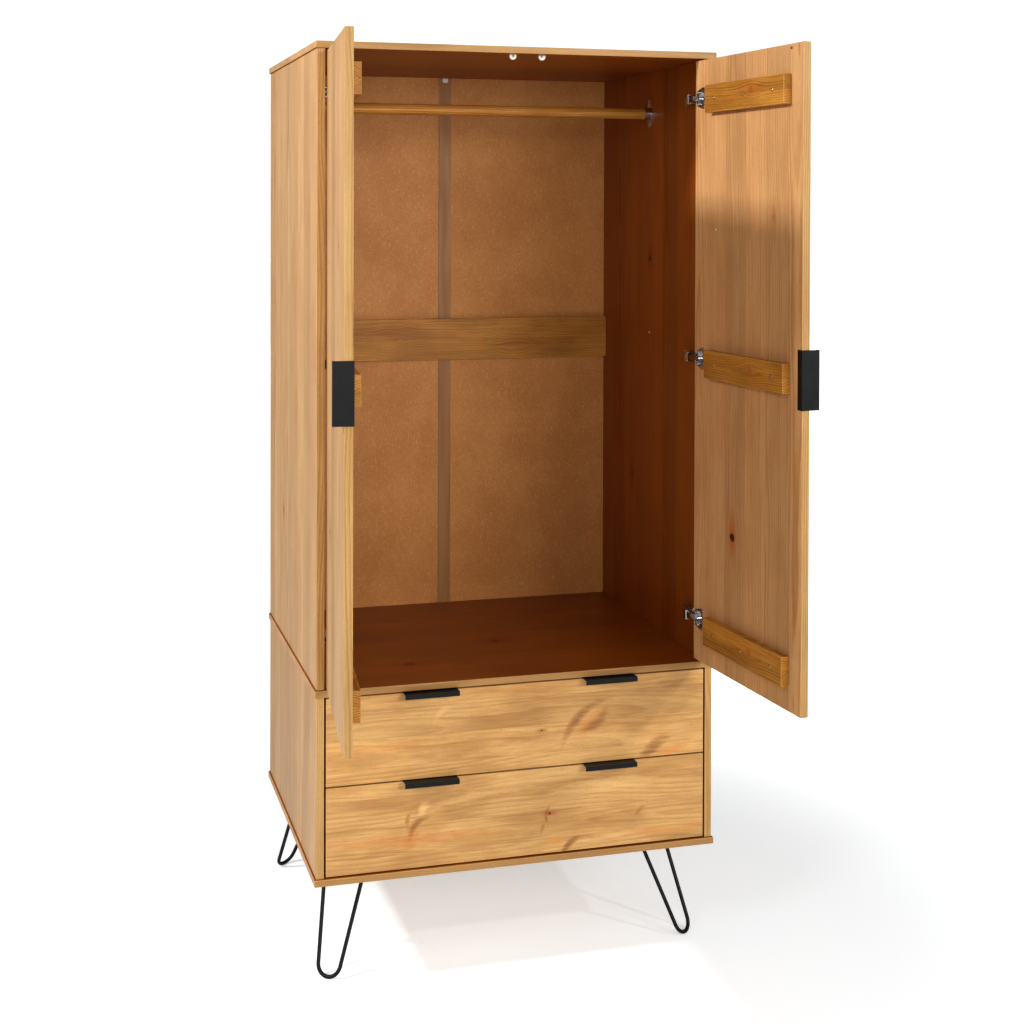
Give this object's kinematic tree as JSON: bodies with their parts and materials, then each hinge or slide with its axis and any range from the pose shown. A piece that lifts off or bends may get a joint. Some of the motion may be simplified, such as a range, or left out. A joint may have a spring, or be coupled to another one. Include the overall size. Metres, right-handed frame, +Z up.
{
  "type": "wardrobe",
  "caption": "Solid-wood wardrobe with double doors above stacked drawers, hanging rail, folded black handles and splayed hairpin legs, resting with its doors open.",
  "frame": {"origin": "on the floor, under the middle of the whole object with both doors standing open", "axes": "+X to the wardrobe's right as seen from the front, +Y to its back, +Z up"},
  "size_m": [0.9164, 0.999, 1.871],
  "materials": {
    "carcass_wood": "satin lacquered solid wood",
    "door_wood": "satin lacquered solid wood",
    "drawer_wood": "satin lacquered figured wood",
    "batten_wood": "planed wood",
    "hardboard": "matt hardboard",
    "joint_strip": "matt extruded plastic",
    "black_steel": "satin black powder coat",
    "hinge_chrome": "bright nickel plate"
  },
  "bodies": {
    "carcass": {"bottom_panel": "carcass_wood", "divider_panel": "carcass_wood", "top_panel": "carcass_wood", "lower_side_left": "carcass_wood", "upper_side_left": "carcass_wood", "lower_side_right": "carcass_wood", "upper_side_right": "carcass_wood", "upper_back_left": "hardboard", "upper_back_right": "hardboard", "lower_back_panel": "hardboard", "back_joint_strip": "joint_strip", "back_mid_rail": "batten_wood", "hanging_rail": "batten_wood", "rail_socket_left": "hinge_chrome", "rail_socket_right": "hinge_chrome", "front_leg_left": "black_steel", "front_leg_right": "black_steel", "rear_leg_left": "black_steel", "rear_leg_right": "black_steel", "drawer_cleat_left": "batten_wood", "drawer_cleat_right": "batten_wood", "left_hinge_arm_bottom": "hinge_chrome", "left_hinge_arm_middle": "hinge_chrome", "left_hinge_arm_top": "hinge_chrome", "right_hinge_arm_bottom": "hinge_chrome", "right_hinge_arm_middle": "hinge_chrome", "right_hinge_arm_top": "hinge_chrome"},
    "left_door": {"left_door": "door_wood", "left_door_handle": "black_steel", "left_door_batten_bottom": "batten_wood", "left_door_batten_middle": "batten_wood", "left_door_batten_top": "batten_wood", "left_hinge_cup_bottom": "hinge_chrome", "left_hinge_cup_middle": "hinge_chrome", "left_hinge_cup_top": "hinge_chrome"},
    "right_door": {"right_door": "door_wood", "right_door_handle": "black_steel", "right_door_batten_bottom": "batten_wood", "right_door_batten_middle": "batten_wood", "right_door_batten_top": "batten_wood", "right_hinge_cup_bottom": "hinge_chrome", "right_hinge_cup_middle": "hinge_chrome", "right_hinge_cup_top": "hinge_chrome"},
    "left_hinge_links": {"left_hinge_link_middle": "hinge_chrome"},
    "right_hinge_links": {"right_hinge_link_middle": "hinge_chrome"},
    "lower_drawer": {"lower_drawer_front": "drawer_wood", "lower_drawer_side_left": "batten_wood", "lower_drawer_side_right": "batten_wood", "lower_drawer_back": "batten_wood", "lower_drawer_bottom": "hardboard", "lower_drawer_handle_left": "black_steel", "lower_drawer_handle_right": "black_steel"},
    "upper_drawer": {"upper_drawer_front": "drawer_wood", "upper_drawer_side_left": "batten_wood", "upper_drawer_side_right": "batten_wood", "upper_drawer_back": "batten_wood", "upper_drawer_bottom": "hardboard", "upper_drawer_handle_left": "black_steel", "upper_drawer_handle_right": "black_steel"}
  },
  "joints": [
    {"name": "left_door_hinge", "type": "hinge", "parent": "carcass", "child": "left_door", "pos_m": [-0.3955, -0.099, 1.2275], "axis": [0, 0, -1], "range_deg": [-96.5, 13.5]},
    {"name": "right_door_hinge", "type": "hinge", "parent": "carcass", "child": "right_door", "pos_m": [0.3955, -0.099, 1.2275], "axis": [0, 0, 1], "range_deg": [-94.5, 15.5]},
    {"name": "left_link_pin", "type": "hinge", "parent": "carcass", "child": "left_hinge_links", "pos_m": [-0.37388, -0.08141, 1.234], "axis": [0, 0, 1], "range_deg": [-24.5, 4]},
    {"name": "right_link_pin", "type": "hinge", "parent": "carcass", "child": "right_hinge_links", "pos_m": [0.37388, -0.08141, 1.234], "axis": [0, 0, -1], "range_deg": [-24, 4]},
    {"name": "lower_drawer_slide", "type": "slide", "parent": "carcass", "child": "lower_drawer", "axis": [0, -1, 0], "range_m": [0, 0.36]},
    {"name": "upper_drawer_slide", "type": "slide", "parent": "carcass", "child": "upper_drawer", "axis": [0, -1, 0], "range_m": [0, 0.36]}
  ],
  "couplings": [
    {"joint": "left_link_pin", "follows": "left_door_hinge", "ratio": 0.25},
    {"joint": "right_link_pin", "follows": "right_door_hinge", "ratio": 0.25}
  ]
}
